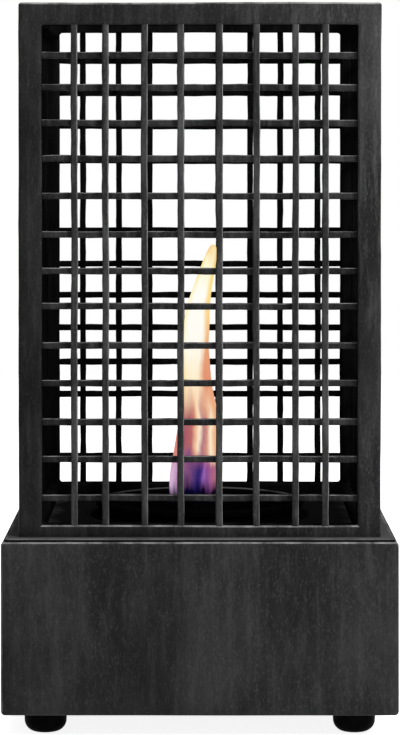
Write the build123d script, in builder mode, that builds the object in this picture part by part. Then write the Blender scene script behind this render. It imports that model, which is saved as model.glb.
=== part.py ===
from build123d import *
from dataclasses import dataclass
from math import sqrt
import os

# Tabletop fireplace: a lattice tower that stands over a round fuel bowl in a square steel base.
# Millimetres, +Z up, front towards -Y. The origin is on the table, under the middle of the base.

os.makedirs("parts", exist_ok=True)

# Rubber feet and what holds them
foot_height = 15.5
foot_top_radius = 14.7
foot_low_radius = 14.2
foot_rounding = 8.0
foot_inset = 29.0
foot_recess_radius = 4.3
foot_recess_depth = 6.5
screw_radius = 2.0
screw_head_radius = 3.8
screw_head_height = 2.6
screw_head_rounding = 1.2
screw_socket_radius = 1.6
screw_socket_depth = 1.4
screw_end = 2.5
screw_clearance = 0.2
thread_clearance = 0.05
washer_radius = 4.5
washer_thickness = 0.8
nut_flats = 7.0
nut_height = 3.2

# Base: a folded shell with a plate on top
base_width = 270.0
base_height = 120.0
sheet = 1.5
base_corner_radius = 3.2
base_fold_radius = 3.0
shoulder_radius = 2.0
flange_width = 30.0
top_plate_thickness = 2.0
top_plate_inset = 2.0
top_plate_rounding = 0.7

# Tower frame of square tube
tower_margin = 11.5
tower_height = 364.0
tube_size = 16.0
tube_wall = 1.5
tube_rounding = 2.0
top_rail_height = 15.3
back_top_rail_height = 10.3
bottom_rail_height = 8.1
back_bottom_rail_height = 9.4
post_cap_thickness = 1.5
post_cap_rounding = 0.5

# Pins that keep the tower in its place on the base
pin_radius = 3.0
pin_length = 7.0
pin_clearance = 0.3
pin_chamfer = 0.8
plug_thickness = 4.0
plug_clearance = 0.05

# Lattice of square bars, laid by hand. A margin runs from the frame to the middle of the first or the
# last bar, and a stray is how far a bar lies from even spacing between those two.
bar_size = 4.0
bar_chamfer = 0.6
lattice_setback = 1.0
upright_margin = 22.0
back_upright_margin = 17.5
crossbar_low_margin = 17.9
crossbar_high_margin = 20.4
back_crossbar_low_margin = 19.7
back_crossbar_high_margin = 21.4
front_upright_strays = (0.0, -3.2, -1.0, -0.8, 1.1, 1.8, 4.1, 0.1)
back_upright_strays = (-0.3, 2.7, 0.0, -1.4, 1.2, -0.1, -2.2, -0.4)
front_crossbar_strays = (0.0, 1.4, 1.6, 2.8, 3.3, 4.9, 3.8, 3.5, 4.6, 4.9, 4.1, 3.2, 0.0)
back_crossbar_strays = (0.0, 0.5, -2.7, -3.3, -2.2, -2.6, -3.9, -3.6, -2.8, -0.8, 0.5, 0.6, 0.0)

# Collar on the base, and the spun bowl that hangs on it by its rolled lip
lip_crest_radius = 72.5
lip_crest_height = 11.4
lip_channel_radius = 1.3
lip_turn_down = 4.4
lip_seat_gap = 0.3
collar_thickness = 1.2
collar_flange = 5.6
bowl_wall = 1.2
bowl_shoulder = 12.2
bowl_low_rounding = 9.0
seat_depth = 5.0
seat_edge_rounding = 1.6
seat_floor_rounding = 0.5
seat_clearance = 0.6

# Fuel can that stands in the seat of the bowl
can_radius = 43.0
can_height = 89.0
can_wall = 0.5
can_drop = 15.4
seam_width = 1.2
seam_height = 3.2
seam_rim = 1.5
seam_rounding = 0.4
end_recess = 2.0
mouth_radius = 33.0
mouth_throat = 3.5
gel_headspace = 14.0
gel_clearance = 0.1
gel_rounding = 1.0

# Heights and places that follow
base_bottom = foot_height
base_floor = base_bottom + sheet
plate_top = base_bottom + base_height
shell_top = plate_top - top_plate_thickness
tower_top = plate_top + tower_height
post_top = tower_top - post_cap_thickness
foot_spacing = base_width - 2 * foot_inset
tower_width = base_width - 2 * tower_margin
opening_width = tower_width - 2 * tube_size
post_spacing = tower_width - tube_size
crest_top = plate_top + lip_crest_height
lip_roll = lip_channel_radius + bowl_wall
lip_middle = crest_top - lip_roll
collar_inner_radius = lip_crest_radius - collar_thickness / 2
collar_outer_radius = lip_crest_radius + collar_thickness / 2
collar_foot_radius = collar_outer_radius + collar_flange
channel_rise = sqrt(lip_channel_radius**2 - (collar_thickness / 2) ** 2)
collar_top = lip_middle + channel_rise - lip_seat_gap
can_top = crest_top - can_drop
can_foot = can_top - can_height
end_depth = end_recess + can_wall
seam_radius = can_radius + seam_width
seat_radius = seam_radius + seat_clearance
bowl_low_radius = seat_radius + bowl_shoulder
screw_hole_radius = screw_radius + screw_clearance
pin_hole_radius = pin_radius + pin_clearance

up = Vector(0, 0, 1)
outward = {
    "front": Vector(0, -1, 0),
    "back": Vector(0, 1, 0),
    "left": Vector(-1, 0, 0),
    "right": Vector(1, 0, 0),
}
corners = {
    "front_left": (-1, -1),
    "front_right": (1, -1),
    "back_left": (-1, 1),
    "back_right": (1, 1),
}


@dataclass
class Panel:
    """One side of the tower: its two rails and where its bars lie."""

    top_rail: float
    bottom_rail: float
    upright_margin: float
    upright_strays: tuple
    crossbar_low_margin: float
    crossbar_high_margin: float
    crossbar_strays: tuple
    uprights_outermost: bool


panels = {
    "front": Panel(
        top_rail_height,
        bottom_rail_height,
        upright_margin,
        front_upright_strays,
        crossbar_low_margin,
        crossbar_high_margin,
        front_crossbar_strays,
        uprights_outermost=True,
    ),
    "back": Panel(
        back_top_rail_height,
        back_bottom_rail_height,
        back_upright_margin,
        back_upright_strays,
        back_crossbar_low_margin,
        back_crossbar_high_margin,
        back_crossbar_strays,
        uprights_outermost=False,
    ),
    "left": Panel(
        top_rail_height,
        bottom_rail_height,
        upright_margin,
        front_upright_strays[::-1],
        back_crossbar_low_margin,
        back_crossbar_high_margin,
        back_crossbar_strays,
        uprights_outermost=False,
    ),
    "right": Panel(
        top_rail_height,
        bottom_rail_height,
        back_upright_margin,
        back_upright_strays[::-1],
        crossbar_low_margin,
        crossbar_high_margin,
        front_crossbar_strays,
        uprights_outermost=False,
    ),
}


def save(piece, name):
    """Label a finished piece and write it under its own name."""
    piece.part.label = name
    export_step(piece.part, f"parts/{name}.step")


def along(side):
    """Direction along a side of the tower, to the right of someone who faces that side."""
    return up.cross(outward[side])


def spread(low, high, strays):
    """Places evenly spaced from low to high, each moved by its own stray."""
    step = (high - low) / (len(strays) - 1)
    return [low + index * step + stray for index, stray in enumerate(strays)]


def turned(profile, centre=(0, 0)):
    """Piece turned about an upright axis, from corners given as radius, height and rounding."""
    axis_foot = (*centre, 0)
    points = [(radius, height) for radius, height, rounding in profile]
    roundings = [rounding for radius, height, rounding in profile]
    with BuildPart() as piece:
        with BuildSketch(Plane(origin=axis_foot, x_dir=(1, 0, 0), z_dir=(0, -1, 0))):
            with BuildLine():
                FilletPolyline(*points, radius=roundings, close=True)
            make_face()
        revolve(axis=Axis(axis_foot, (0, 0, 1)))
    return piece


def tube_section(width, height):
    """Rounded rectangular tube section, added to the open sketch."""
    RectangleRounded(width, height, tube_rounding)
    RectangleRounded(
        width - 2 * tube_wall,
        height - 2 * tube_wall,
        tube_rounding - tube_wall,
        mode=Mode.SUBTRACT,
    )


def bars(planes, length):
    """Parallel square bars with softened edges, one standing on each plane."""
    with BuildPart() as piece:
        with BuildSketch(*planes) as section:
            Rectangle(bar_size, bar_size)
            chamfer(section.vertices(), bar_chamfer)
        extrude(amount=length)
    return piece


# Shell of the base: floor, walls and inward flange, folded from one sheet. The cavity is its inside.
with BuildPart() as cavity:
    with BuildSketch(Plane.XY.offset(base_floor)):
        inner_width = base_width - 2 * sheet
        RectangleRounded(inner_width, inner_width, base_corner_radius - sheet)
    extrude(amount=shell_top - sheet - base_floor)
    fillet(cavity.edges().group_by(Axis.Z)[0], base_fold_radius - sheet)
    fillet(cavity.edges().group_by(Axis.Z)[-1], shoulder_radius - sheet)

with BuildPart() as base_shell:
    with BuildSketch(Plane.XY.offset(base_bottom)):
        RectangleRounded(base_width, base_width, base_corner_radius)
    extrude(amount=shell_top - base_bottom)
    fillet(base_shell.edges().group_by(Axis.Z)[0], base_fold_radius)
    fillet(base_shell.edges().group_by(Axis.Z)[-1], shoulder_radius)
    add(cavity.part, mode=Mode.SUBTRACT)
    with BuildSketch(Plane.XY.offset(shell_top)):
        flange_opening = base_width - 2 * flange_width
        Rectangle(flange_opening, flange_opening)
        with GridLocations(post_spacing, post_spacing, 2, 2):
            Circle(pin_hole_radius)
    extrude(amount=-sheet, mode=Mode.SUBTRACT)
    with BuildSketch(Plane.XY.offset(base_bottom)):
        with GridLocations(foot_spacing, foot_spacing, 2, 2):
            Circle(screw_hole_radius)
    extrude(amount=sheet, mode=Mode.SUBTRACT)
save(base_shell, "base_shell")

# Plate that closes the shell, with the hole for the bowl and the holes for the tower's pins
with BuildPart() as base_top_plate:
    with BuildSketch(Plane.XY.offset(shell_top)):
        plate_width = base_width - 2 * top_plate_inset
        RectangleRounded(plate_width, plate_width, base_corner_radius)
        Circle(collar_inner_radius, mode=Mode.SUBTRACT)
        with GridLocations(post_spacing, post_spacing, 2, 2):
            Circle(pin_hole_radius, mode=Mode.SUBTRACT)
    extrude(amount=top_plate_thickness)
    plate_face = base_top_plate.faces().sort_by(Axis.Z)[-1]
    fillet(plate_face.outer_wire().edges(), top_plate_rounding)
save(base_top_plate, "base_top_plate")

# Rubber feet: bumpers with a recess for the head of their screw
foot_profile = (
    (screw_hole_radius, foot_height, 0),
    (foot_top_radius, foot_height, 0),
    (foot_low_radius, 0, foot_rounding),
    (foot_recess_radius, 0, 0),
    (foot_recess_radius, foot_recess_depth, 0),
    (screw_hole_radius, foot_recess_depth, 0),
)
for corner, (side_x, side_y) in corners.items():
    foot_centre = (side_x * foot_spacing / 2, side_y * foot_spacing / 2)
    save(turned(foot_profile, foot_centre), f"foot_{corner}")

# Screws of the feet, from below, with a washer and a nut on the floor of the base
with BuildPart() as foot_screws:
    with BuildSketch(Plane.XY.offset(foot_recess_depth)):
        with GridLocations(foot_spacing, foot_spacing, 2, 2):
            Circle(screw_head_radius)
    extrude(amount=-screw_head_height)
    fillet(foot_screws.edges().group_by(Axis.Z)[0], screw_head_rounding)
    with BuildSketch(Plane.XY.offset(foot_recess_depth)):
        with GridLocations(foot_spacing, foot_spacing, 2, 2):
            Circle(screw_radius)
    extrude(amount=base_floor + washer_thickness + nut_height + screw_end - foot_recess_depth)
    with BuildSketch(Plane.XY.offset(foot_recess_depth - screw_head_height)):
        with GridLocations(foot_spacing, foot_spacing, 2, 2):
            RegularPolygon(screw_socket_radius, 6)
    extrude(amount=screw_socket_depth, mode=Mode.SUBTRACT)
save(foot_screws, "foot_screws")

with BuildPart() as foot_washers:
    with BuildSketch(Plane.XY.offset(base_floor)):
        with GridLocations(foot_spacing, foot_spacing, 2, 2):
            Circle(washer_radius)
            Circle(screw_hole_radius, mode=Mode.SUBTRACT)
    extrude(amount=washer_thickness)
save(foot_washers, "foot_washers")

with BuildPart() as foot_nuts:
    with BuildSketch(Plane.XY.offset(base_floor + washer_thickness)):
        with GridLocations(foot_spacing, foot_spacing, 2, 2):
            RegularPolygon(nut_flats / 2, 6, major_radius=False)
            Circle(screw_radius + thread_clearance, mode=Mode.SUBTRACT)
    extrude(amount=nut_height)
save(foot_nuts, "foot_nuts")

# Posts of the tower, closed by caps at the top and by plugs with the locating pins at the foot
for corner, (side_x, side_y) in corners.items():
    post_foot = (side_x * post_spacing / 2, side_y * post_spacing / 2, plate_top)
    with BuildPart() as post:
        with BuildSketch(Plane(origin=post_foot)):
            tube_section(tube_size, tube_size)
        extrude(amount=post_top - plate_top)
    save(post, f"post_{corner}")

with BuildPart() as post_caps:
    with BuildSketch(Plane.XY.offset(post_top)):
        with GridLocations(post_spacing, post_spacing, 2, 2):
            RectangleRounded(tube_size, tube_size, tube_rounding)
    extrude(amount=post_cap_thickness)
    fillet(post_caps.edges().group_by(Axis.Z)[-1], post_cap_rounding)
save(post_caps, "post_caps")

with BuildPart() as locating_pins:
    with BuildSketch(Plane.XY.offset(plate_top)):
        with GridLocations(post_spacing, post_spacing, 2, 2):
            plug_width = tube_size - 2 * tube_wall - 2 * plug_clearance
            RectangleRounded(plug_width, plug_width, tube_rounding - tube_wall)
    extrude(amount=plug_thickness)
    with BuildSketch(Plane.XY.offset(plate_top)):
        with GridLocations(post_spacing, post_spacing, 2, 2):
            Circle(pin_radius)
    extrude(amount=-pin_length)
    chamfer(locating_pins.edges().group_by(Axis.Z)[0], pin_chamfer)
save(locating_pins, "locating_pins")

# Rails between the posts, and the two layers of bars, of which the outer one is nearly flush with the frame
for side, panel in panels.items():
    frame_middle = outward[side] * post_spacing / 2
    left_post = frame_middle - along(side) * opening_width / 2
    opening_low = plate_top + panel.bottom_rail
    opening_high = tower_top - panel.top_rail

    rails = {
        f"bottom_rail_{side}": (plate_top + panel.bottom_rail / 2, panel.bottom_rail),
        f"top_rail_{side}": (tower_top - panel.top_rail / 2, panel.top_rail),
    }
    for name, (middle_height, height) in rails.items():
        rail_start = left_post + up * middle_height
        with BuildPart() as rail:
            with BuildSketch(Plane(origin=rail_start, x_dir=outward[side], z_dir=along(side))):
                tube_section(tube_size, height)
            extrude(amount=opening_width)
        save(rail, name)

    outer_layer = outward[side] * (tower_width / 2 - lattice_setback - bar_size / 2)
    inner_layer = outer_layer - outward[side] * bar_size
    if panel.uprights_outermost:
        upright_layer = outer_layer
        crossbar_layer = inner_layer
    else:
        upright_layer = inner_layer
        crossbar_layer = outer_layer

    first_upright = opening_width / 2 - panel.upright_margin
    upright_planes = [
        Plane(origin=upright_layer + along(side) * place + up * opening_low)
        for place in spread(-first_upright, first_upright, panel.upright_strays)
    ]
    save(bars(upright_planes, opening_high - opening_low), f"{side}_upright_bars")

    low_crossbar = opening_low + panel.crossbar_low_margin
    high_crossbar = opening_high - panel.crossbar_high_margin
    crossbar_planes = [
        Plane(
            origin=crossbar_layer - along(side) * opening_width / 2 + up * height,
            x_dir=outward[side],
            z_dir=along(side),
        )
        for height in spread(low_crossbar, high_crossbar, panel.crossbar_strays)
    ]
    save(bars(crossbar_planes, opening_width), f"{side}_crossbars")

# Collar round the hole in the plate, flanged at its foot
collar_profile = (
    (collar_inner_radius, plate_top, 0),
    (collar_foot_radius, plate_top, 0),
    (collar_foot_radius, plate_top + collar_thickness, 0),
    (collar_outer_radius, plate_top + collar_thickness, collar_thickness),
    (collar_outer_radius, collar_top, 0),
    (collar_inner_radius, collar_top, 0),
)
save(turned(collar_profile), "bowl_collar")

# Spun bowl: its skin runs from the turned-down edge over the rolled lip, down the wall and across the
# shoulder into the seat, and the sheet lies behind that skin
with BuildPart() as fuel_bowl:
    with BuildSketch(Plane.XZ):
        with BuildLine():
            lip_outer = (lip_crest_radius + lip_roll, lip_middle)
            lip_inner = (lip_crest_radius - lip_roll, lip_middle)
            Line((lip_outer[0], crest_top - lip_turn_down), lip_outer)
            ThreePointArc(lip_outer, (lip_crest_radius, crest_top), lip_inner)
            FilletPolyline(
                lip_inner,
                (bowl_low_radius, can_foot + seat_depth),
                (seat_radius, can_foot + seat_depth),
                (seat_radius, can_foot),
                (0, can_foot),
                radius=(bowl_low_rounding, seat_edge_rounding, seat_floor_rounding),
            )
            offset(amount=bowl_wall, side=Side.LEFT)
        make_face()
    revolve(axis=Axis.Z)
save(fuel_bowl, "fuel_bowl")

# Fuel can: body, and ends that are seamed over its edges
with BuildPart() as can_body:
    with BuildSketch(Plane.XY.offset(can_foot + end_depth)):
        Circle(can_radius)
        Circle(can_radius - can_wall, mode=Mode.SUBTRACT)
    extrude(amount=can_height - 2 * end_depth)
save(can_body, "can_body")

rim_inner_radius = can_radius - seam_rim
bottom_profile = (
    (0, can_foot + end_recess, 0),
    (rim_inner_radius, can_foot + end_recess, 0),
    (rim_inner_radius, can_foot, seam_rounding),
    (seam_radius, can_foot, seam_rounding),
    (seam_radius, can_foot + seam_height, seam_rounding),
    (can_radius, can_foot + seam_height, 0),
    (can_radius, can_foot + end_depth, 0),
    (0, can_foot + end_depth, 0),
)
save(turned(bottom_profile), "can_bottom")

top_profile = (
    (mouth_radius, can_top - end_recess, 0),
    (rim_inner_radius, can_top - end_recess, 0),
    (rim_inner_radius, can_top, seam_rounding),
    (seam_radius, can_top, seam_rounding),
    (seam_radius, can_top - seam_height, seam_rounding),
    (can_radius, can_top - seam_height, 0),
    (can_radius, can_top - end_depth, 0),
    (mouth_radius + can_wall, can_top - end_depth, 0),
    (mouth_radius + can_wall, can_top - end_recess - mouth_throat, 0),
    (mouth_radius, can_top - end_recess - mouth_throat, 0),
)
save(turned(top_profile), "can_top_ring")

gel_radius = can_radius - can_wall - gel_clearance
gel_profile = (
    (0, can_foot + end_depth, 0),
    (gel_radius, can_foot + end_depth, 0),
    (gel_radius, can_top - gel_headspace, gel_rounding),
    (0, can_top - gel_headspace, 0),
)
save(turned(gel_profile), "fuel_gel")
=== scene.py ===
import math

import bpy
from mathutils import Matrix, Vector


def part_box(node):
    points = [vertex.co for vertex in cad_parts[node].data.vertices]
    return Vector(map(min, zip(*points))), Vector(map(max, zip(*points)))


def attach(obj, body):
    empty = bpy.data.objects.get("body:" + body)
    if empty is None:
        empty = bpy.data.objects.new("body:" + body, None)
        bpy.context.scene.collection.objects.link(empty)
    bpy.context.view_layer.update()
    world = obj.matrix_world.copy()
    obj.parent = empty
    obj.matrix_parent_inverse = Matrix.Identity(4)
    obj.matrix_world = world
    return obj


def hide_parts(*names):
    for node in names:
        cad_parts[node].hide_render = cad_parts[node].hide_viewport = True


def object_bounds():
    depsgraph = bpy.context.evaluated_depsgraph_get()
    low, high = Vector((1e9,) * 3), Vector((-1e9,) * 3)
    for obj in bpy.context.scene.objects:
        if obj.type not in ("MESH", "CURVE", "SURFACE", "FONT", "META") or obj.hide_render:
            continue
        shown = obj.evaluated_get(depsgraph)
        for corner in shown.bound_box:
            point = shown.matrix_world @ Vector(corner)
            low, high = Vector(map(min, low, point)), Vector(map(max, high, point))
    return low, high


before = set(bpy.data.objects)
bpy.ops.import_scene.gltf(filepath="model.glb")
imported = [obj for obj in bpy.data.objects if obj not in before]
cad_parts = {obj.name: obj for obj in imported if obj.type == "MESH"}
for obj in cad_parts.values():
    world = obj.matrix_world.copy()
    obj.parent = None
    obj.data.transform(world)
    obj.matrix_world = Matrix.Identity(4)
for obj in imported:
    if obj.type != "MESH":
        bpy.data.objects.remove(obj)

# Tabletop fireplace: a lattice tower of coated steel over a fuel bowl in a square base, with its flame.
# Metres, +Z up, front towards -Y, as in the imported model.

mm = 0.001
sides = ("front", "back", "left", "right")
corners = ("front_left", "front_right", "back_left", "back_right")
along_side = {"front": 0, "back": 0, "left": 1, "right": 1}
cad_low, cad_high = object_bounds()

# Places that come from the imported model
post_low, post_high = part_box("post_front_left")
tower_low = Vector((post_low.x, post_low.y, post_low.z))
tower_high = Vector((-post_low.x, -post_low.y, cad_high.z))
tube = post_high.x - post_low.x
plate_top = post_low.z


# Making and shaping pieces

def choose(piece):
    """Make this piece the only chosen one."""
    bpy.ops.object.select_all(action="DESELECT")
    piece.select_set(True)
    bpy.context.view_layer.objects.active = piece


def settle(piece, name):
    """Name a piece and put its place, turn and size into its mesh."""
    choose(piece)
    bpy.ops.object.transform_apply(location=True, rotation=True, scale=True)
    piece.name = name
    piece.data.name = name
    return piece


def block(low, high, name="block"):
    """Closed block between two corners."""
    low, high = Vector(low), Vector(high)
    bpy.ops.object.select_all(action="DESELECT")
    bpy.ops.mesh.primitive_cube_add(size=1, location=(low + high) / 2, scale=high - low)
    return settle(bpy.context.active_object, name)


def joined(parts, name):
    """One piece made of several."""
    choose(parts[0])
    for part in parts[1:]:
        part.select_set(True)
    bpy.ops.object.join()
    return settle(bpy.context.active_object, name)


def copy_to(piece, shift):
    """Copy of a piece with its own mesh, moved by a shift."""
    choose(piece)
    bpy.ops.object.duplicate(linked=False)
    twin = bpy.context.active_object
    twin.location = shift
    return settle(twin, piece.name + "_copy")


def apply(piece, kind, **settings):
    """Add a modifier with these settings and apply it."""
    choose(piece)
    modifier = piece.modifiers.new(kind, kind)
    for key, value in settings.items():
        setattr(modifier, key, value)
    bpy.ops.object.modifier_apply(modifier=modifier.name)


def cut_away(piece, tool):
    """Cut the tool's volume out of the piece."""
    apply(piece, "BOOLEAN", operation="DIFFERENCE", solver="EXACT", object=tool)
    bpy.data.objects.remove(tool)


def slice_across(piece, axis, low, high, step):
    """Cut rings round a piece at even steps, so that it can bend there."""
    choose(piece)
    bpy.ops.object.mode_set(mode="EDIT")
    normal = [float(index == axis) for index in range(3)]
    count = round((high - low) / step)
    for index in range(1, count):
        point = [0.0, 0.0, 0.0]
        point[axis] = low + (high - low) * index / count
        bpy.ops.mesh.select_all(action="SELECT")
        bpy.ops.mesh.bisect(plane_co=point, plane_no=normal)
    bpy.ops.object.mode_set(mode="OBJECT")


def soften(piece, width, segments=3):
    """Round every sharp edge."""
    apply(
        piece, "BEVEL", width=width, segments=segments, limit_method="ANGLE",
        angle_limit=math.radians(40), use_clamp_overlap=False,
    )


def waver(piece, amount, length):
    """Bend a piece gently this way and that, the same for all that lies in one place."""
    drift = bpy.data.textures.new("drift", "CLOUDS")
    drift.cloud_type = "COLOR"
    drift.noise_scale = length
    drift.noise_depth = 1
    apply(
        piece, "DISPLACE", texture=drift, texture_coords="LOCAL", direction="RGB_TO_XYZ",
        strength=amount, mid_level=0.5,
    )


def roughen(piece, amount, length):
    """Make the coating thicker and thinner over a piece."""
    lumps = bpy.data.textures.new("lumps", "CLOUDS")
    lumps.noise_scale = length
    lumps.noise_depth = 2
    apply(
        piece, "DISPLACE", texture=lumps, texture_coords="LOCAL", direction="NORMAL",
        strength=amount, mid_level=0.5,
    )


def smooth(piece, angle):
    """Shade a piece smoothly across all but its sharp edges."""
    choose(piece)
    bpy.ops.object.shade_smooth_by_angle(angle=math.radians(angle))


def finish_faces(piece, slot, rule):
    """Give a slot's finish to the faces for which a rule on their middle and outward direction holds."""
    for face in piece.data.polygons:
        if rule(face.center, face.normal):
            face.material_index = slot


def solids(node):
    """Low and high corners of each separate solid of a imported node."""
    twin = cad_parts[node].copy()
    twin.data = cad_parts[node].data.copy()
    bpy.context.scene.collection.objects.link(twin)
    choose(twin)
    bpy.ops.object.mode_set(mode="EDIT")
    bpy.ops.mesh.select_all(action="SELECT")
    bpy.ops.mesh.remove_doubles(threshold=1e-6)
    bpy.ops.mesh.separate(type="LOOSE")
    bpy.ops.object.mode_set(mode="OBJECT")
    boxes = []
    for part in list(bpy.context.selected_objects):
        places = [part.matrix_world @ vertex.co for vertex in part.data.vertices]
        low = Vector([min(place[axis] for place in places) for axis in range(3)])
        high = Vector([max(place[axis] for place in places) for axis in range(3)])
        boxes.append((low, high))
        bpy.data.objects.remove(part)
    return sorted(boxes, key=lambda box: tuple(box[0]))


# Materials

bare_steel = (0.24, 0.24, 0.24)
# Near-black of painted shade, inside the tower's foot on the plate.
shade_black = (0.005, 0.005, 0.005)


class Paint:
    """A material under construction: its shader, and short ways to add texture nodes."""

    def __init__(self, name, **sockets):
        self.material = bpy.data.materials.new(name)
        self.material.use_nodes = True
        self.tree = self.material.node_tree
        self.shader = self.tree.nodes["Principled BSDF"]
        for socket, value in sockets.items():
            self.shader.inputs[socket.replace("_", " ")].default_value = value
        self.place = self.add("ShaderNodeTexCoord").outputs["Object"]

    def axes(self):
        """The object place's x, y and z."""
        split = self.add("ShaderNodeSeparateXYZ")
        self.link(self.place, split.inputs["Vector"])
        return split.outputs

    def add(self, kind, **settings):
        node = self.tree.nodes.new(kind)
        for key, value in settings.items():
            setattr(node, key, value)
        return node

    def link(self, source, target):
        self.tree.links.new(source, target)

    def stretched(self, scale):
        """Object place, stretched by a scale along each axis."""
        node = self.add("ShaderNodeMapping")
        node.inputs["Scale"].default_value = scale
        self.link(self.place, node.inputs["Vector"])
        return node.outputs["Vector"]

    def noise(self, scale, detail=4.0, stretch=(1, 1, 1), roughness=0.55):
        node = self.add("ShaderNodeTexNoise")
        node.inputs["Scale"].default_value = scale
        node.inputs["Detail"].default_value = detail
        node.inputs["Roughness"].default_value = roughness
        self.link(self.stretched(stretch), node.inputs["Vector"])
        return node.outputs["Fac"]

    def cracks(self, scale, width):
        """Fine network of lines, one between cells."""
        node = self.add("ShaderNodeTexVoronoi", feature="DISTANCE_TO_EDGE")
        node.inputs["Scale"].default_value = scale
        self.link(self.place, node.inputs["Vector"])
        return self.ramp(node.outputs["Distance"], (0.0, 1.0), (width, 0.0))

    def ramp(self, source, reach, values):
        """Straight change between two values while the source goes through its reach, level beyond it."""
        node = self.add("ShaderNodeMapRange")
        node.inputs["From Min"].default_value, node.inputs["From Max"].default_value = reach
        node.inputs["To Min"].default_value, node.inputs["To Max"].default_value = values
        self.link(source, node.inputs["Value"])
        return node.outputs["Result"]

    def colours(self, source, stops):
        """Colours by value: a list of places and colours."""
        node = self.add("ShaderNodeValToRGB")
        elements = node.color_ramp.elements
        while len(elements) < len(stops):
            elements.new(0.5)
        for element, (place, colour) in zip(elements, stops):
            element.position = place
            element.color = (*colour, 1.0)
        self.link(source, node.inputs["Fac"])
        return node.outputs["Color"]

    def maths(self, operation, first, second):
        node = self.add("ShaderNodeMath", operation=operation)
        for socket, value in zip(node.inputs, (first, second)):
            if isinstance(value, (int, float)):
                socket.default_value = value
            else:
                self.link(value, socket)
        return node.outputs["Value"]

    def blend(self, factor, first, second, kind="MIX"):
        """Mix two colours."""
        node = self.add("ShaderNodeMix", data_type="RGBA", blend_type=kind)
        colour_mix_sockets = (node.inputs[0], node.inputs[6], node.inputs[7])
        for socket, value in zip(colour_mix_sockets, (factor, first, second)):
            if isinstance(value, (int, float)):
                socket.default_value = value
            elif isinstance(value, tuple):
                socket.default_value = (*value, 1.0)
            else:
                self.link(value, socket)
        return node.outputs[2]

    def bump(self, height, strength, distance):
        """Add relief on top of what is there."""
        node = self.add("ShaderNodeBump")
        node.inputs["Strength"].default_value = strength
        node.inputs["Distance"].default_value = distance
        self.link(height, node.inputs["Height"])
        if self.shader.inputs["Normal"].links:
            self.link(self.shader.inputs["Normal"].links[0].from_socket, node.inputs["Normal"])
        self.link(node.outputs["Normal"], self.shader.inputs["Normal"])

    def set(self, socket, source):
        self.link(source, self.shader.inputs[socket])


def coated_steel(name, dark, light, brushed, worn=0.0, contrast=2.3, painted_light_gradient=False):
    """Charcoal coating, brushed on up and down over steel, mottled and finely crazed.

    A worn one is rubbed to bare steel in places. One with a painted light gradient is lighter to the right
    and towards the top: painted light, as if lit from the upper right.
    """
    paint = Paint(name, Specular_IOR_Level=0.04)
    streaks = paint.noise(170, 6.0, (1, 1, 0.13), 0.66)
    patches = paint.noise(24, 7.0, (1, 1, 0.42), 0.62)
    drifts = paint.noise(9, 3.0, (1, 1, 0.6))
    specks = paint.noise(760, 5.0, (1, 1, 0.5), 0.75)
    lines = paint.cracks(360, 0.1)
    pale = tuple(contrast * part for part in light)
    deep = tuple(0.45 * part for part in dark)
    body = paint.colours(patches, [(0.38, dark), (0.62, light)])
    body = paint.blend(paint.ramp(streaks, (0.5, 0.76), (0.0, brushed)), body, pale)
    body = paint.blend(paint.ramp(streaks, (0.46, 0.26), (0.0, brushed)), body, deep)
    body = paint.blend(paint.ramp(specks, (0.54, 0.76), (0.0, 0.8)), body, pale)
    body = paint.blend(paint.ramp(specks, (0.46, 0.26), (0.0, 0.7)), body, deep)
    crazed = paint.maths("MULTIPLY", lines, paint.ramp(patches, (0.46, 0.6), (0.0, 0.85)))
    body = paint.blend(crazed, body, pale)
    body = paint.blend(paint.ramp(drifts, (0.5, 0.36), (0.0, 0.45)), body, deep)
    # Painted light: lighter to the right and towards the top, as if lit from the upper right.
    if painted_light_gradient:
        axes = paint.axes()
        sideways = paint.ramp(axes["X"], (-120 * mm, 120 * mm), (0.62, 1.15))
        upward = paint.ramp(axes["Z"], (130 * mm, 490 * mm), (0.85, 1.15))
        body = paint.blend(1.0, body, paint.maths("MULTIPLY", sideways, upward), "MULTIPLY")
    if worn:
        wear_and_highlight = paint.ramp(paint.noise(75, 6.0, (1, 1, 0.5)), (0.4, 0.62), (0.0, worn))
        body = paint.blend(wear_and_highlight, body, bare_steel)
    paint.set("Base Color", body)
    paint.set("Roughness", paint.ramp(patches, (0.3, 0.7), (0.66, 0.46)))
    paint.bump(streaks, 0.6, 0.5 * mm)
    paint.bump(specks, 0.7, 0.25 * mm)
    paint.bump(lines, 0.4, 0.15 * mm)
    return paint.material


def painted_inner_shade():
    """Dull black of the faces inside the tower and the base: painted shade."""
    paint = Paint("inner_painted_shade", Specular_IOR_Level=0.0, Roughness=1.0)
    patches = paint.noise(30, 5.0, (1, 1, 0.4))
    streaks = paint.noise(150, 4.0, (1, 1, 0.08))
    body = paint.colours(patches, [(0.35, (0.002, 0.002, 0.002)), (0.7, (0.0055, 0.0055, 0.0055))])
    body = paint.blend(paint.ramp(streaks, (0.5, 0.75), (0.0, 0.6)), body, (0.012, 0.012, 0.012))
    paint.set("Base Color", body)
    paint.bump(streaks, 0.3, 0.2 * mm)
    return paint.material


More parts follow.
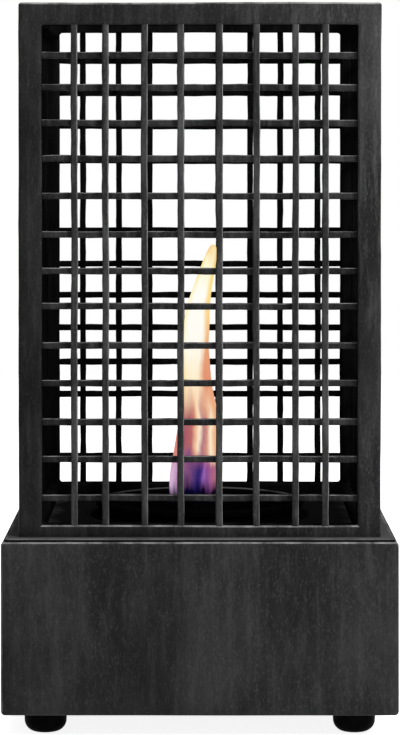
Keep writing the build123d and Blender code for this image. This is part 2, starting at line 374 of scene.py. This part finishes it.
def plate_coat_with_painted_light(dark, light):
    """The charcoal coating with painted shade, black inside the tower's foot and below the plate's top, and
    painted light, lighter outside the tower with a painted highlight along the plate's upper edge.
    """
    paint = Paint("plate_coat_painted_light", Specular_IOR_Level=0.0)
    axes = paint.axes()
    sideways = paint.maths("ABSOLUTE", axes["X"], 0)
    backwards = paint.maths("ABSOLUTE", axes["Y"], 0)
    reach = paint.maths("MAXIMUM", sideways, backwards)
    patches = paint.noise(30, 5.0)
    specks = paint.noise(600, 4.0)
    edge = paint.maths("ADD", reach, paint.ramp(patches, (0.3, 0.7), (-4 * mm, 4 * mm)))
    pale = tuple(1.8 * part for part in light)
    body = paint.colours(patches, [(0.35, dark), (0.68, light)])
    body = paint.blend(paint.ramp(specks, (0.55, 0.8), (0.0, 0.6)), body, pale)
    # Painted shade: black inside the tower's foot.
    shaded_inside = paint.ramp(edge, (100 * mm, 112 * mm), (1.0, 0.0))
    body = paint.blend(shaded_inside, body, shade_black)
    # Painted light: lighter where the plate reaches out beyond the tower.
    lit_outside = paint.ramp(edge, (116 * mm, 124 * mm), (0.0, 0.7))
    body = paint.blend(lit_outside, body, (0.06, 0.06, 0.06))
    # Painted highlight along the plate's upper edge, in patches.
    rim = paint.ramp(reach, (129.5 * mm, 131 * mm), (0.0, 1.0))
    wear_and_highlight = paint.ramp(paint.noise(40, 5.0), (0.38, 0.6), (0.1, 0.8))
    body = paint.blend(paint.maths("MULTIPLY", rim, wear_and_highlight), body, (0.13, 0.13, 0.13))
    # Painted shade: near-black below the top of the plate, on its edge and underside.
    shaded_under = paint.ramp(axes["Z"], (plate_top - 0.9 * mm, plate_top - 0.5 * mm), (1.0, 0.0))
    paint.set("Base Color", paint.blend(shaded_under, body, (0.004, 0.004, 0.004)))
    paint.set("Roughness", paint.ramp(patches, (0.3, 0.7), (0.9, 0.7)))
    paint.bump(specks, 0.5, 0.15 * mm)
    return paint.material


def enamel():
    """Black enamel, dulled by heat, with a painted highlight along the inside of the rolled lip."""
    paint = Paint("black_enamel", Specular_IOR_Level=0.0)
    axes = paint.axes()
    squares = [paint.maths("POWER", axes[axis], 2) for axis in ("X", "Y")]
    radius = paint.maths("SQRT", paint.maths("ADD", *squares), 0)
    patches = paint.noise(40, 4.0)
    body = paint.colours(patches, [(0.3, (0.0012, 0.0012, 0.0014)), (0.7, (0.003, 0.003, 0.0032))])
    # Painted highlight on the inside of the lip's crest, in patches.
    inner = paint.ramp(radius, (71.3 * mm, 71.8 * mm), (1.0, 0.0))
    upper = paint.ramp(axes["Z"], (145.6 * mm, 146.3 * mm), (0.0, 1.0))
    glint_patches = paint.ramp(paint.noise(26, 4.0), (0.4, 0.62), (0.1, 1.0))
    wear_and_highlight = paint.maths("MULTIPLY", paint.maths("MULTIPLY", inner, upper), glint_patches)
    paint.set("Base Color", paint.blend(wear_and_highlight, body, (0.1, 0.1, 0.1)))
    paint.set("Roughness", paint.ramp(patches, (0.3, 0.7), (0.6, 0.45)))
    paint.bump(paint.noise(700, 3.0), 0.2, 0.05 * mm)
    return paint.material


def rubber():
    """Black moulded rubber with a dusty bloom."""
    paint = Paint("moulded_rubber", Specular_IOR_Level=0.01)
    clouds = paint.noise(120, 5.0)
    body = paint.colours(clouds, [(0.35, (0.0015, 0.0015, 0.0015)), (0.7, (0.004, 0.004, 0.004))])
    paint.set("Base Color", body)
    paint.set("Roughness", paint.ramp(clouds, (0.3, 0.7), (0.7, 0.5)))
    paint.bump(paint.noise(1500, 3.0), 0.3, 0.06 * mm)
    return paint.material


def zinc():
    """Zinc-plated steel."""
    paint = Paint("zinc_plate", Metallic=1.0)
    clouds = paint.noise(300, 4.0)
    paint.set("Base Color", paint.colours(clouds, [(0.3, (0.45, 0.46, 0.47)), (0.7, (0.62, 0.63, 0.62))]))
    paint.set("Roughness", paint.ramp(clouds, (0.3, 0.7), (0.28, 0.42)))
    paint.bump(paint.noise(2000, 2.0), 0.2, 0.03 * mm)
    return paint.material


def tinplate():
    """Tinplate with fine rolling lines."""
    paint = Paint("rolled_tinplate", Metallic=1.0)
    lines = paint.noise(900, 3.0, (1, 1, 0.03))
    clouds = paint.noise(60, 3.0)
    paint.set("Base Color", paint.colours(clouds, [(0.3, (0.5, 0.5, 0.49)), (0.7, (0.66, 0.66, 0.64))]))
    paint.set("Roughness", paint.ramp(lines, (0.3, 0.7), (0.22, 0.38)))
    paint.bump(lines, 0.15, 0.03 * mm)
    return paint.material


def gel():
    """Clear blue alcohol gel with small bubbles."""
    paint = Paint("alcohol_gel", Specular_IOR_Level=0.5, Transmission_Weight=0.35, IOR=1.36)
    bubbles = paint.cracks(260, 0.2)
    paint.set("Base Color", paint.blend(bubbles, (0.16, 0.3, 0.62), (0.5, 0.62, 0.8)))
    paint.set("Roughness", paint.ramp(paint.noise(80), (0.3, 0.7), (0.08, 0.25)))
    paint.bump(paint.noise(60, 3.0), 0.4, 1.0 * mm)
    return paint.material


charcoal = coated_steel("charcoal_coat", (0.0125, 0.0126, 0.0128), (0.026, 0.0261, 0.0263), 0.4, contrast=2.6)
# The frame's coat holds painted light: lighter to the right and towards the top.
frame_charcoal = coated_steel(
    "frame_coat", (0.012, 0.0121, 0.0123), (0.025, 0.0251, 0.0253), 0.7, contrast=3.0, painted_light_gradient=True
)
bar_charcoal = coated_steel("bar_coat", (0.016, 0.0161, 0.0163), (0.038, 0.0381, 0.0383), 0.8, contrast=2.6)
# The crossbars' coat is a darker copy of the uprights' coat: painted shade.
shaded_rung_charcoal = coated_steel("shaded_rung_coat", (0.009, 0.0091, 0.0093), (0.024, 0.0241, 0.0243), 0.8, contrast=2.8)
# A lighter coat, partly rubbed to bare steel, for edges that look up or to the right: painted highlight.
edge_highlight_charcoal = coated_steel("edge_highlight_coat", (0.035, 0.035, 0.035), (0.095, 0.095, 0.095), 0.6, worn=0.85)
# Near-black on the inner faces of the tower, the bars and the base: painted shade.
inner_shade_black = painted_inner_shade()
plate_coat = plate_coat_with_painted_light((0.016, 0.016, 0.016), (0.034, 0.034, 0.034))
black_enamel = enamel()
foot_rubber = rubber()
zinc_plate = zinc()
tin = tinplate()
fuel = gel()


def dress(node, material):
    """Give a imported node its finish."""
    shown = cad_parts[node]
    shown.data.materials.clear()
    shown.data.materials.append(material)


# Tower frame: posts and rails welded and ground flush, with softened, slightly wavy edges

# Share of a face's outward direction along one axis beyond which the face counts as flat, not as an edge
flat_out = 0.93

# How far a cutting block reaches beyond what it cuts
over_cut = 5 * mm


def lit_edge(middle, out):
    """Rounded edges that look up or to the right of who faces their side: they get the painted highlight."""
    if out.z < -0.2 or max(abs(out.x), abs(out.y), abs(out.z)) > flat_out:
        return False
    if abs(middle.y) > abs(middle.x):
        rightward = -out.x if middle.y > 0 else out.x
    else:
        rightward = out.y if middle.x > 0 else -out.y
    return out.z > 0.5 or rightward > 0.5


def saw_off(piece, height):
    """Cut a piece off flat at a height, and close it."""
    choose(piece)
    bpy.ops.object.mode_set(mode="EDIT")
    bpy.ops.mesh.select_all(action="SELECT")
    bpy.ops.mesh.bisect(plane_co=(0, 0, height), plane_no=(0, 0, -1), use_fill=True, clear_outer=True)
    bpy.ops.object.mode_set(mode="OBJECT")


def tower_frame():
    rounding = 2.0 * mm
    skin_depth = 1.2 * mm
    rim_depth = 1.7 * mm
    over = Vector((0, 0, over_cut))
    piece = block(tower_low - over, tower_high, "tower_frame")
    inset = Vector((tube, tube, 0))
    cut_away(piece, block(tower_low + inset - 2 * over, tower_high - inset + over))
    for side in sides:
        window_low, window_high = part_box(f"top_rail_{side}")
        across = 1 - along_side[side]
        window_high.z = window_low.z
        window_low.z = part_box(f"bottom_rail_{side}")[1].z
        window_low[across] -= over_cut
        window_high[across] += over_cut
        cut_away(piece, block(window_low, window_high))
    for axis in range(3):
        slice_across(piece, axis, tower_low[axis], tower_high[axis], 10 * mm)
    for material in (frame_charcoal, edge_highlight_charcoal, inner_shade_black):
        piece.data.materials.append(material)
    soften(piece, rounding, 4)
    saw_off(piece, plate_top)
    # Rounded edges that look up get the painted highlight coat.
    finish_faces(piece, 1, lambda middle, out: 0.5 < out.z < flat_out)
    skin = tower_high.x - skin_depth
    top = tower_high.z - rim_depth
    # The frame's inner faces get the near-black of painted shade.
    finish_faces(piece, 2, lambda middle, out: max(abs(middle.x), abs(middle.y)) < skin and middle.z < top)
    waver(piece, 0.9 * mm, 70 * mm)
    roughen(piece, 0.4 * mm, 12 * mm)
    smooth(piece, 50)
    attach(piece, "tower")
    replaced = [f"post_{corner}" for corner in corners] + ["post_caps"]
    replaced += [f"{level}_rail_{side}" for level in ("bottom", "top") for side in sides]
    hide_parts(*replaced)


# Base: a folded shell, open at the top inside its flange, with painted highlights on the edges that look up
# or to the right

def base_box():
    rounding = 2.8 * mm
    skin_depth = 1.0 * mm
    sheet = Vector([1.5 * mm] * 3)
    flange = Vector((30 * mm, 30 * mm, 0))
    low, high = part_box("base_shell")
    piece = block(low, high, "base_box")
    cut_away(piece, block(low + sheet, high - sheet))
    hole_low = Vector((low.x, low.y, high.z - 2 * over_cut)) + flange
    hole_high = high - flange + Vector((0, 0, over_cut))
    cut_away(piece, block(hole_low, hole_high))
    for axis in range(3):
        slice_across(piece, axis, low[axis], high[axis], 12 * mm)
    for material in (charcoal, edge_highlight_charcoal, inner_shade_black):
        piece.data.materials.append(material)
    soften(piece, rounding, 5)
    # Rounded edges that look up or to the right get the painted highlight coat.
    finish_faces(piece, 1, lit_edge)
    skin = high.x - skin_depth
    # The shell's inner faces get the near-black of painted shade.
    finish_faces(piece, 2, lambda middle, out: (
        max(abs(middle.x), abs(middle.y)) < skin
        and low.z + skin_depth < middle.z < high.z - skin_depth
        and out.x * middle.x + out.y * middle.y <= 0
    ))
    waver(piece, 0.5 * mm, 110 * mm)
    smooth(piece, 50)
    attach(piece, "base")
    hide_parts("base_shell")


# Lattice: bars that bend a little, thick with coating, and a bead of weld wherever two meet

end_sunk = 1.2 * mm
coating = 0.25 * mm
bar_rounding = 1.0 * mm
bead_reach = 3.1 * mm
bead_depth = 2.2 * mm


def bar_row(node, direction, name):
    """All the bars of one row, and their middles. The first is modelled and the others are its copies."""
    places = solids(node)
    low, high = places[0]
    swell = Vector([end_sunk if axis == direction else coating for axis in range(3)])
    bar = block(low - swell, high + swell, name)
    slice_across(bar, direction, low[direction], high[direction], 8 * mm)
    soften(bar, bar_rounding)
    bars = [bar] + [copy_to(bar, place[0] - low) for place in places[1:]]
    return joined(bars, name), [(place[0] + place[1]) / 2 for place in places]


def weld_beads(points, across, name):
    """Small flattened beads at these points."""
    radii = [bead_reach] * 3
    radii[across] = bead_depth
    bpy.ops.object.select_all(action="DESELECT")
    bpy.ops.mesh.primitive_ico_sphere_add(subdivisions=2, radius=1, location=points[0], scale=radii)
    bead = settle(bpy.context.active_object, name)
    beads = [bead] + [copy_to(bead, point - points[0]) for point in points[1:]]
    return joined(beads, name)


def lattice(side):
    """Uprights, crossbars and beads of one side, with painted shade on the faces that look into the tower."""
    across = 1 - along_side[side]
    uprights, upright_places = bar_row(f"{side}_upright_bars", 2, f"{side}_uprights")
    crossbars, crossbar_places = bar_row(f"{side}_crossbars", along_side[side], f"{side}_rungs")
    points = []
    for upright in upright_places:
        for crossbar in crossbar_places:
            point = (upright + crossbar) / 2
            point[along_side[side]] = upright[along_side[side]]
            point.z = crossbar.z
            points.append(point)
    beads = weld_beads(points, across, f"{side}_welds")
    outward = Vector([0, 0, 0])
    outward[across] = 1 if side in ("back", "right") else -1
    # Faces that turn less outwards than this get the near-black of painted shade.
    inner_shade_reach = -0.3 if side == "front" else 0.3
    for piece in (uprights, crossbars, beads):
        # Crossbars take the darker copy of the coat: painted shade.
        coat = shaded_rung_charcoal if piece == crossbars else bar_charcoal
        for material in (coat, edge_highlight_charcoal, inner_shade_black):
            piece.data.materials.append(material)
        if piece != beads:
            # Rounded edges that look up or to the right get the painted highlight coat.
            finish_faces(piece, 1, lit_edge)
        finish_faces(piece, 2, lambda middle, out: out.dot(outward) < inner_shade_reach)
        waver(piece, 0.9 * mm, 60 * mm)
        roughen(piece, 0.9 * mm, 7 * mm)
        smooth(piece, 50)
        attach(piece, "tower")
    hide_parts(f"{side}_upright_bars")
    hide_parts(f"{side}_crossbars")


# Flame: each row of its outline is a height, the left edge and the right edge, in millimetres

flame_outline = (
    (119, -16, 14), (128, -20, 13), (140, -22, 13), (153, -22.5, 14), (166, -22, 14.5), (179, -19.4, 15),
    (190, -17.6, 15), (200, -16, 14.6), (211, -13.6, 12.5), (221, -13.2, 9.8), (232, -13.2, 8.2),
    (246, -13.1, 7.2), (259, -12.9, 6.7), (273, -11.7, 6.7), (288, -9.3, 7.4), (301, -4.9, 9.0),
    (313, 0.0, 11.2), (321, 3.0, 12.4), (327, 5.8, 12.9), (330.5, 8.0, 12.0),
)


def flame_body():
    """Ring after ring drawn up along the flame's outline and closed at the tip."""
    rows = [(height * mm, left * mm, right * mm) for height, left, right in flame_outline]
    bpy.ops.object.select_all(action="DESELECT")
    height, left, right = rows[0]
    bpy.ops.mesh.primitive_circle_add(
        vertices=40, radius=(right - left) / 2, fill_type="NGON", location=((left + right) / 2, 0, height)
    )
    piece = bpy.context.active_object
    bpy.ops.object.transform_apply(location=True, rotation=True, scale=True)
    bpy.ops.object.mode_set(mode="EDIT")
    bpy.ops.mesh.select_all(action="SELECT")
    for (z0, left0, right0), (z1, left1, right1) in zip(rows, rows[1:]):
        shift = ((left1 + right1 - left0 - right0) / 2, 0, z1 - z0)
        bpy.ops.mesh.extrude_region_move(TRANSFORM_OT_translate={"value": shift})
        ratio = (right1 - left1) / (right0 - left0)
        bpy.ops.transform.resize(value=(ratio, ratio, 1), center_override=((left1 + right1) / 2, 0, z1))
    bpy.ops.mesh.extrude_region_move(TRANSFORM_OT_translate={"value": (0, 0, 1 * mm)})
    bpy.ops.mesh.merge(type="CENTER")
    bpy.ops.mesh.select_all(action="SELECT")
    bpy.ops.mesh.normals_make_consistent(inside=False)
    bpy.ops.object.mode_set(mode="OBJECT")
    apply(piece, "SUBSURF", levels=2, render_levels=2)
    return settle(piece, "flame")


def across_flame(piece):
    """Store how far across the flame each point lies, from -1 at the left edge to 1 at the right."""
    measure = piece.data.attributes.new("across", "FLOAT", "POINT")
    for vertex, value in zip(piece.data.vertices, measure.data):
        height = vertex.co.z / mm
        below = max([row for row in flame_outline if row[0] <= height] or flame_outline[:1])
        above = min([row for row in flame_outline if row[0] >= height] or flame_outline[-1:])
        share = (height - below[0]) / max(above[0] - below[0], 0.001)
        left = below[1] + (above[1] - below[1]) * share
        right = below[2] + (above[2] - below[2]) * share
        value.value = (2 * vertex.co.x / mm - left - right) / (right - left)


def screen(red, green, blue):
    """Colour written as a screen shows it, from 0 to 255."""
    return tuple((part / 255) ** 2.2 for part in (red, green, blue))


def flame_paint():
    """Glow graded from the foot to the tip and from the left edge to the right, in drawn-out tongues."""
    paint = Paint("flame_glow", Emission_Strength=1.0, Specular_IOR_Level=0.0, Roughness=1.0)
    paint.shader.inputs["Base Color"].default_value = (0, 0, 0, 1)
    height = paint.ramp(paint.axes()["Z"], (118 * mm, 332 * mm), (0.0, 1.0))
    tongues = paint.noise(95, 3.0, (1, 1, 0.2))
    licks = paint.noise(60, 3.0, (1, 1, 0.5))
    sway = paint.maths("MULTIPLY", paint.maths("SUBTRACT", tongues, 0.5), 0.18)
    level = paint.maths("ADD", height, sway)
    across = paint.add("ShaderNodeAttribute", attribute_name="across").outputs["Fac"]
    across = paint.maths("ADD", across, paint.maths("MULTIPLY", paint.maths("SUBTRACT", licks, 0.5), 0.7))
    middle = paint.colours(level, [
        (0.14, screen(8, 8, 26)), (0.18, screen(22, 20, 62)), (0.22, screen(62, 44, 108)),
        (0.27, screen(150, 90, 118)), (0.35, screen(196, 120, 116)), (0.43, screen(250, 206, 164)),
        (0.54, screen(255, 238, 202)), (0.66, screen(255, 252, 240)), (0.83, screen(255, 255, 248)),
        (0.93, screen(255, 249, 214)), (1.0, screen(251, 212, 138)),
    ])
    left = paint.colours(level, [
        (0.15, screen(10, 10, 36)), (0.2, screen(104, 78, 130)), (0.24, screen(206, 170, 204)),
        (0.31, screen(222, 138, 122)), (0.4, screen(214, 120, 104)), (0.5, screen(250, 212, 148)),
        (0.62, screen(255, 240, 188)), (0.8, screen(255, 242, 190)), (0.93, screen(253, 222, 140)),
        (1.0, screen(242, 178, 92)),
    ])
    right = paint.colours(level, [
        (0.15, screen(10, 8, 30)), (0.2, screen(72, 36, 74)), (0.26, screen(170, 94, 120)),
        (0.34, screen(242, 200, 164)), (0.41, screen(236, 164, 122)), (0.52, screen(226, 146, 112)),
        (0.64, screen(232, 160, 118)), (0.76, screen(252, 214, 146)), (0.9, screen(253, 224, 142)),
        (1.0, screen(244, 180, 96)),
    ])
    glow = paint.blend(paint.ramp(across, (-0.55, -1.0), (0.0, 1.0)), middle, left)
    low_part = paint.ramp(level, (0.72, 0.6), (0.0, 0.3))
    to_right = paint.ramp(paint.maths("ADD", across, low_part), (0.42, 0.85), (0.0, 1.0))
    glow = paint.blend(to_right, glow, right)
    place = paint.ramp(across, (-1.0, 1.0), (0.0, 1.0))
    tongue_bands = paint.colours(place, [
        (0.04, screen(214, 136, 124)), (0.2, screen(156, 86, 100)), (0.37, screen(186, 104, 102)),
        (0.46, screen(244, 196, 158)), (0.52, screen(255, 238, 208)), (0.6, screen(176, 118, 132)),
        (0.7, screen(206, 140, 122)), (0.8, screen(252, 236, 204)), (0.93, screen(238, 178, 136)),
    ])
    foot_bands = paint.colours(place, [
        (0.03, screen(214, 178, 210)), (0.2, screen(160, 112, 150)), (0.36, screen(136, 84, 124)),
        (0.45, screen(80, 56, 116)), (0.54, screen(44, 36, 104)), (0.63, screen(70, 48, 124)),
        (0.71, screen(154, 102, 182)), (0.79, screen(134, 78, 148)), (0.96, screen(190, 116, 124)),
    ])
    tongue_start = paint.ramp(level, (0.27, 0.31), (0.0, 0.9))
    tongue_end = paint.ramp(level, (0.52, 0.4), (0.0, 1.0))
    tongue_zone = paint.maths("MULTIPLY", tongue_start, tongue_end)
    foot_start = paint.ramp(level, (0.16, 0.21), (0.0, 0.9))
    foot_end = paint.ramp(level, (0.29, 0.24), (0.0, 1.0))
    foot_zone = paint.maths("MULTIPLY", foot_start, foot_end)
    glow = paint.blend(tongue_zone, glow, tongue_bands)
    glow = paint.blend(foot_zone, glow, foot_bands)
    paint.set("Emission Color", glow)
    paint.set("Alpha", paint.ramp(height, (0.12, 0.18), (0.0, 1.0)))
    return paint.material


flame = flame_body()
flame.data.materials.append(flame_paint())
waver(flame, 1.6 * mm, 24 * mm)
across_flame(flame)
smooth(flame, 180)
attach(flame, "can")

tower_frame()
for side in sides:
    lattice(side)
base_box()

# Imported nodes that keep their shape
dress("base_top_plate", plate_coat)
for node in ("bowl_collar", "fuel_bowl"):
    dress(node, black_enamel)
for corner in corners:
    dress(f"foot_{corner}", foot_rubber)
for node in ("foot_screws", "foot_washers", "foot_nuts", "locating_pins"):
    dress(node, zinc_plate)
for node in ("can_body", "can_bottom", "can_top_ring"):
    dress(node, tin)
dress("fuel_gel", fuel)

# Floor, light and camera

# Strength of the surroundings where they are seen, strength of their light, and the floor's own glow
shown_white = 1.0
fill_light = 0.22
floor_lift = 0.88


def seen_directly(tree):
    """1 for rays of the camera and for those that metal or glass sends on, 0 for those that light things."""
    rays = tree.nodes.new("ShaderNodeLightPath")
    seen = rays.outputs["Is Camera Ray"]
    for kind in ("Is Glossy Ray", "Is Transmission Ray"):
        either = tree.nodes.new("ShaderNodeMath")
        either.operation = "MAXIMUM"
        tree.links.new(seen, either.inputs[0])
        tree.links.new(rays.outputs[kind], either.inputs[1])
        seen = either.outputs[0]
    return seen


bpy.ops.object.select_all(action="DESELECT")
bpy.ops.mesh.primitive_circle_add(vertices=96, radius=3.0, fill_type="NGON", location=(0, 0, 0))
floor = settle(bpy.context.active_object, "studio_floor")
floor_paint = Paint("pale_floor", Roughness=0.9, Specular_IOR_Level=0.1)
floor_paint.shader.inputs["Base Color"].default_value = (0.93, 0.93, 0.93, 1)
floor_paint.shader.inputs["Emission Color"].default_value = (1, 1, 1, 1)
floor_glow = floor_paint.maths("MULTIPLY", seen_directly(floor_paint.tree), floor_lift)
floor_paint.set("Emission Strength", floor_glow)
floor.data.materials.append(floor_paint.material)

world = bpy.data.worlds.new("studio")
bpy.context.scene.world = world
world.use_nodes = True
background = world.node_tree.nodes["Background"]
background.inputs["Color"].default_value = (1, 1, 1, 1)
level = world.node_tree.nodes.new("ShaderNodeMapRange")
level.inputs["To Min"].default_value = fill_light
level.inputs["To Max"].default_value = shown_white
world.node_tree.links.new(seen_directly(world.node_tree), level.inputs["Value"])
world.node_tree.links.new(level.outputs["Result"], background.inputs["Strength"])


def lamp(name, place, target, size, power):
    """Soft square lamp that faces a point."""
    light = bpy.data.lights.new(name, "AREA")
    light.size = size
    light.energy = power
    holder = bpy.data.objects.new(name, light)
    bpy.context.scene.collection.objects.link(holder)
    holder.location = place
    holder.rotation_euler = (Vector(target) - Vector(place)).to_track_quat("-Z", "Y").to_euler()


lamp("key_right", (0.65, -0.75, 0.95), (0, 0, 0.3), 0.45, 12)
lamp("rim_right_behind", (1.1, 0.8, 1.0), (0, 0, 0.25), 0.6, 6)
lamp("top_soft", (0.1, -0.2, 1.8), (0, 0, 0.2), 1.0, 20)

# The camera stands 1.9 m before the base, 0.4 m above the table, tilted down by less than a degree
photo_width, photo_height = 400, 735
focal_pixels = 2793.0
eye = Vector((0, -2.0224, 0.3961))
tilt = math.radians(0.74)
middle_column, middle_row = 199.8, 190.45
lens_data = bpy.data.cameras.new("camera")
lens_data.sensor_width = 36.0
lens_data.lens = focal_pixels / photo_height * lens_data.sensor_width
lens_data.shift_y = -(photo_height / 2 - middle_row) / photo_height
lens_data.shift_x = (photo_width / 2 - middle_column) / photo_height
camera = bpy.data.objects.new("camera", lens_data)
bpy.context.scene.collection.objects.link(camera)
camera.location = eye
camera.rotation_euler = (math.radians(90) - tilt, 0, 0)
bpy.context.scene.camera = camera
bpy.context.scene.view_settings.view_transform = "Standard"
